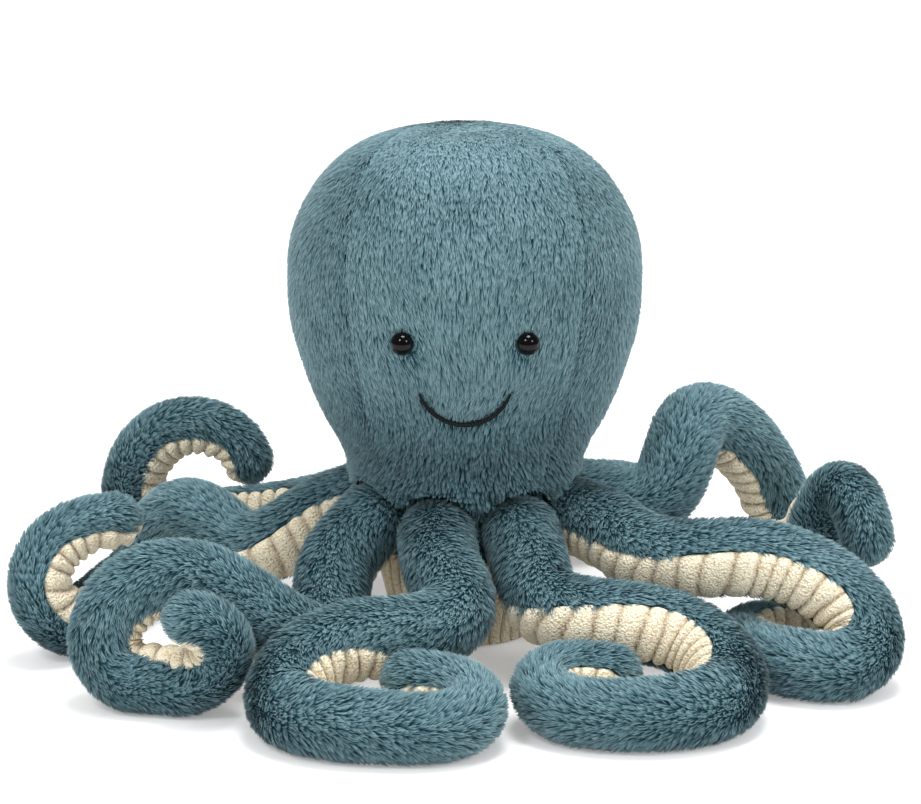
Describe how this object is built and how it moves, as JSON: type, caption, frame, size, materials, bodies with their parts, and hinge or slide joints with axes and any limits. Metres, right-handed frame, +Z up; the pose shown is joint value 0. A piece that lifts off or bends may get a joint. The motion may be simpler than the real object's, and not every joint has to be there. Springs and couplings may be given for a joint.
{
  "type": "plush octopus",
  "caption": "Long-pile stuffed octopus with a bulbous seamed head, bead eyes, stitched smile and curling arms that have a ribbed cream inner side.",
  "frame": {"origin": "on the floor, at the middle of the flat foot of the base under the head", "axes": "+Z up through the head; -Y is the face side; +X is the right-hand side as one looks at the face"},
  "size_m": [0.4176, 0.3859, 0.2448],
  "materials": {
    "plush": "long soft teal blue pile with a loose nap",
    "cord": "cream ribbed chenille cord, matte",
    "filling": "white polyester stuffing",
    "beans": "small plastic beans in a cloth bag",
    "eye": "polished black",
    "washer": "moulded, semi matte",
    "thread": "dark embroidery thread"
  },
  "bodies": {
    "torso": {"head_front_panel": "plush", "head_right_panel": "plush", "head_back_right_panel": "plush", "head_back_left_panel": "plush", "head_left_panel": "plush", "head_filling": "filling", "eye_left": "eye", "eye_right": "eye", "eye_washer_left": "washer", "eye_washer_right": "washer", "mouth_stitch": "thread", "base_cup": "cord", "bean_bag": "beans"},
    "arm_front_left": {"arm_front_left_plush": "plush", "arm_front_left_cord": "cord", "arm_front_left_filling": "filling"},
    "arm_front_right": {"arm_front_right_plush": "plush", "arm_front_right_cord": "cord", "arm_front_right_filling": "filling"},
    "arm_right_front": {"arm_right_front_plush": "plush", "arm_right_front_cord": "cord", "arm_right_front_filling": "filling"},
    "arm_right_back": {"arm_right_back_plush": "plush", "arm_right_back_cord": "cord", "arm_right_back_filling": "filling"},
    "arm_back_right": {"arm_back_right_plush": "plush", "arm_back_right_cord": "cord", "arm_back_right_filling": "filling"},
    "arm_back_left": {"arm_back_left_plush": "plush", "arm_back_left_cord": "cord", "arm_back_left_filling": "filling"},
    "arm_left_back": {"arm_left_back_plush": "plush", "arm_left_back_cord": "cord", "arm_left_back_filling": "filling"},
    "arm_left_front": {"arm_left_front_plush": "plush", "arm_left_front_cord": "cord", "arm_left_front_filling": "filling"}
  },
  "joints": [
    {"name": "lift_front_left", "type": "hinge", "parent": "torso", "child": "arm_front_left", "pos_m": [-0.01302, -0.05034, 0.06], "axis": [-0.9802, 0.198, 0], "range_deg": [0, 15]},
    {"name": "lift_front_right", "type": "hinge", "parent": "torso", "child": "arm_front_right", "pos_m": [0.02639, -0.0448, 0.06], "axis": [-0.8768, -0.4809, 0], "range_deg": [0, 15]},
    {"name": "lift_right_front", "type": "hinge", "parent": "torso", "child": "arm_right_front", "pos_m": [0.05034, -0.01302, 0.06], "axis": [-0.4867, -0.8735, 0], "range_deg": [0, 15]},
    {"name": "lift_right_back", "type": "hinge", "parent": "torso", "child": "arm_right_back", "pos_m": [0.0448, 0.02639, 0.06], "axis": [0.072, -0.9974, 0], "range_deg": [0, 15]},
    {"name": "lift_back_right", "type": "hinge", "parent": "torso", "child": "arm_back_right", "pos_m": [0.01302, 0.05034, 0.06], "axis": [0.9048, -0.4259, 0], "range_deg": [0, 15]},
    {"name": "lift_back_left", "type": "hinge", "parent": "torso", "child": "arm_back_left", "pos_m": [-0.02639, 0.0448, 0.06], "axis": [0.3762, 0.9265, 0], "range_deg": [0, 15]},
    {"name": "lift_left_back", "type": "hinge", "parent": "torso", "child": "arm_left_back", "pos_m": [-0.05034, 0.01302, 0.06], "axis": [-0.203, 0.9792, 0], "range_deg": [0, 15]},
    {"name": "lift_left_front", "type": "hinge", "parent": "torso", "child": "arm_left_front", "pos_m": [-0.0448, -0.02639, 0.06], "axis": [-0.7469, 0.6649, 0], "range_deg": [0, 15]}
  ]
}
